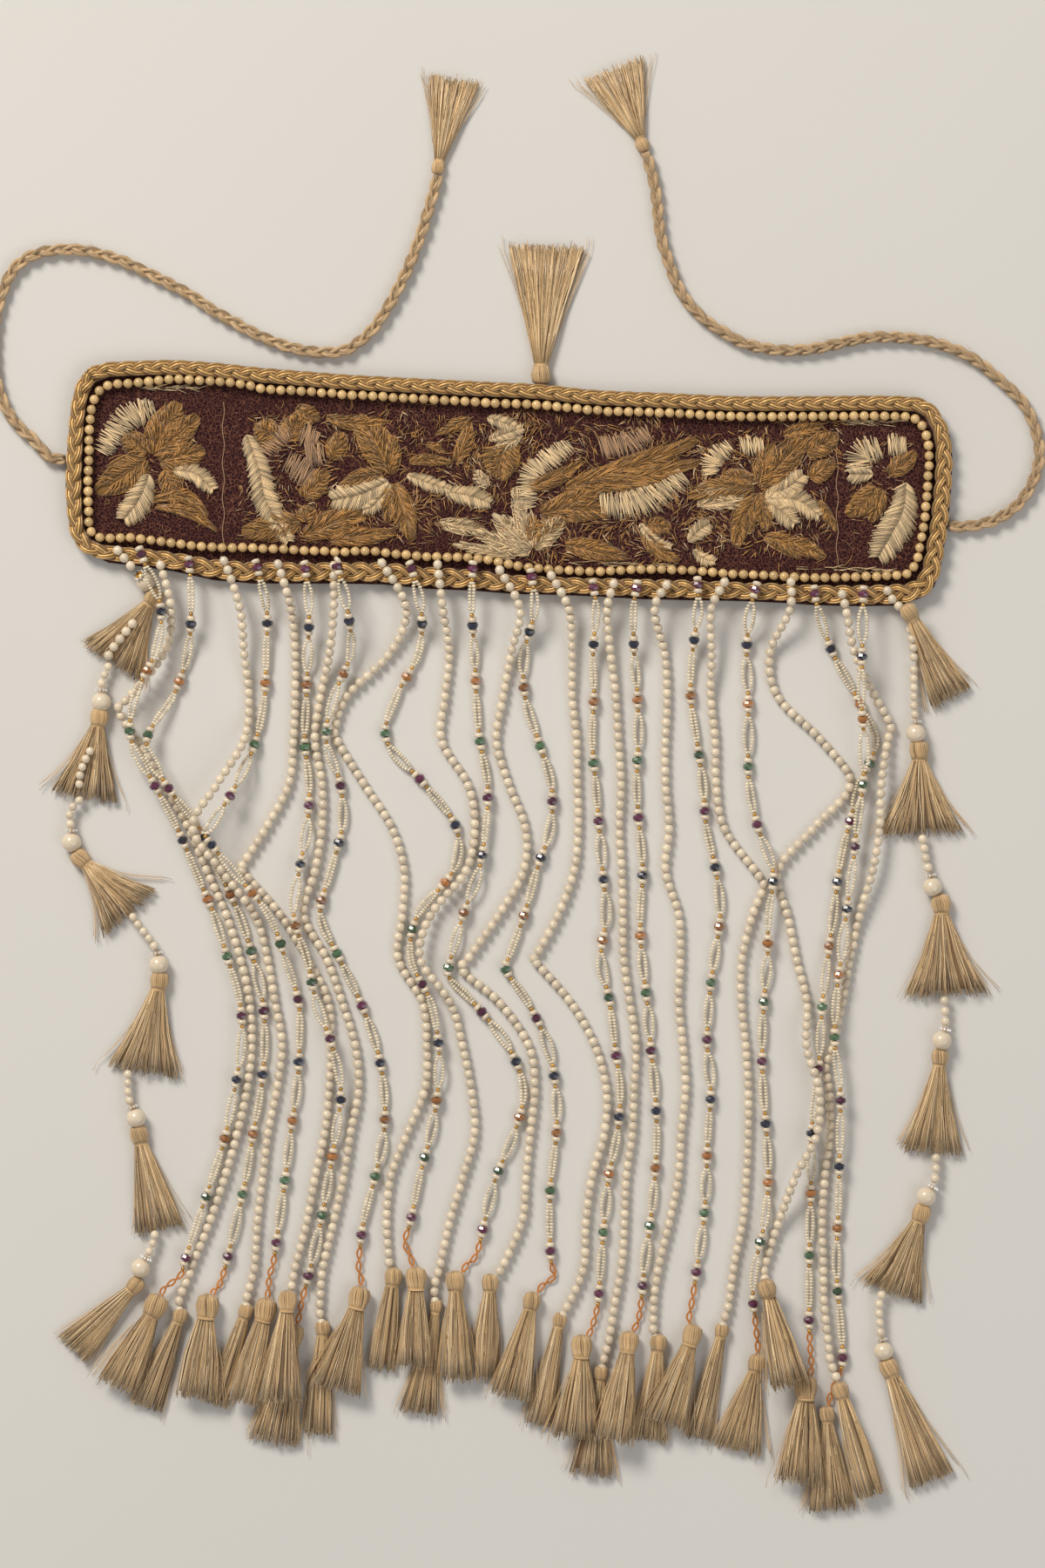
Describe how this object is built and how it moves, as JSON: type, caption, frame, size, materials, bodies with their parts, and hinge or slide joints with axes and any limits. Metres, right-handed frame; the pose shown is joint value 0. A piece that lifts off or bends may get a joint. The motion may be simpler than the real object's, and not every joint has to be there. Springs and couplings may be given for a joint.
{
  "type": "sehra",
  "caption": "Embroidered velvet forehead band with plaited braid and pearl border, braided ties, and a hanging veil of pearl and bead strands, each ending in a silk tassel, lying flat",
  "frame": {"origin": "middle of the band's flat back, on the surface the sehra lies on", "axes": "+X along the band to the wearer's left as seen in the picture (right in the picture), +Y up the picture towards the ties, strands run towards -Y, +Z out of the band's face"},
  "size_m": [0.4373, 0.5991, 0.0158],
  "materials": {
    "velvet": "burgundy velvet with gold thread",
    "gold_braid": "plaited metallic thread",
    "golden_pearl": "golden pearl lustre",
    "silk": "beige silk thread",
    "seed_bead": "opaque cream and coloured glass beads",
    "pearl": "cream pearl lustre"
  },
  "bodies": {
    "root": {"band_panel": "velvet", "border_braid": "gold_braid", "border_pearls": "golden_pearl", "top_tassel": "silk", "tie_left": "silk", "tie_right": "silk", "tie_tassel_left": "silk", "tie_tassel_right": "silk", "strand_mixed_01": "seed_bead", "strand_mixed_02": "seed_bead", "strand_mixed_03": "seed_bead", "strand_mixed_04": "seed_bead", "strand_mixed_05": "seed_bead", "strand_mixed_06": "seed_bead", "strand_mixed_07": "seed_bead", "strand_mixed_08": "seed_bead", "strand_mixed_09": "seed_bead", "strand_mixed_10": "seed_bead", "strand_mixed_11": "seed_bead", "strand_mixed_12": "seed_bead", "strand_mixed_13": "seed_bead", "strand_mixed_14": "seed_bead", "strand_pearl_01": "pearl", "strand_pearl_02": "pearl", "strand_pearl_03": "pearl", "strand_pearl_04": "pearl", "strand_pearl_05": "pearl", "strand_pearl_06": "pearl", "strand_pearl_07": "pearl", "strand_pearl_08": "pearl", "strand_pearl_09": "pearl", "strand_pearl_10": "pearl", "strand_pearl_11": "pearl", "strand_pearl_12": "pearl", "strand_pearl_13": "pearl", "drop_left_1": "pearl", "drop_left_2": "pearl", "drop_left_3": "pearl", "drop_left_4": "pearl", "drop_left_5": "pearl", "drop_left_6": "pearl", "drop_right_1": "pearl", "drop_right_2": "pearl", "drop_right_3": "pearl", "drop_right_4": "pearl", "drop_right_5": "pearl", "drop_right_6": "pearl"}
  },
  "joints": []
}
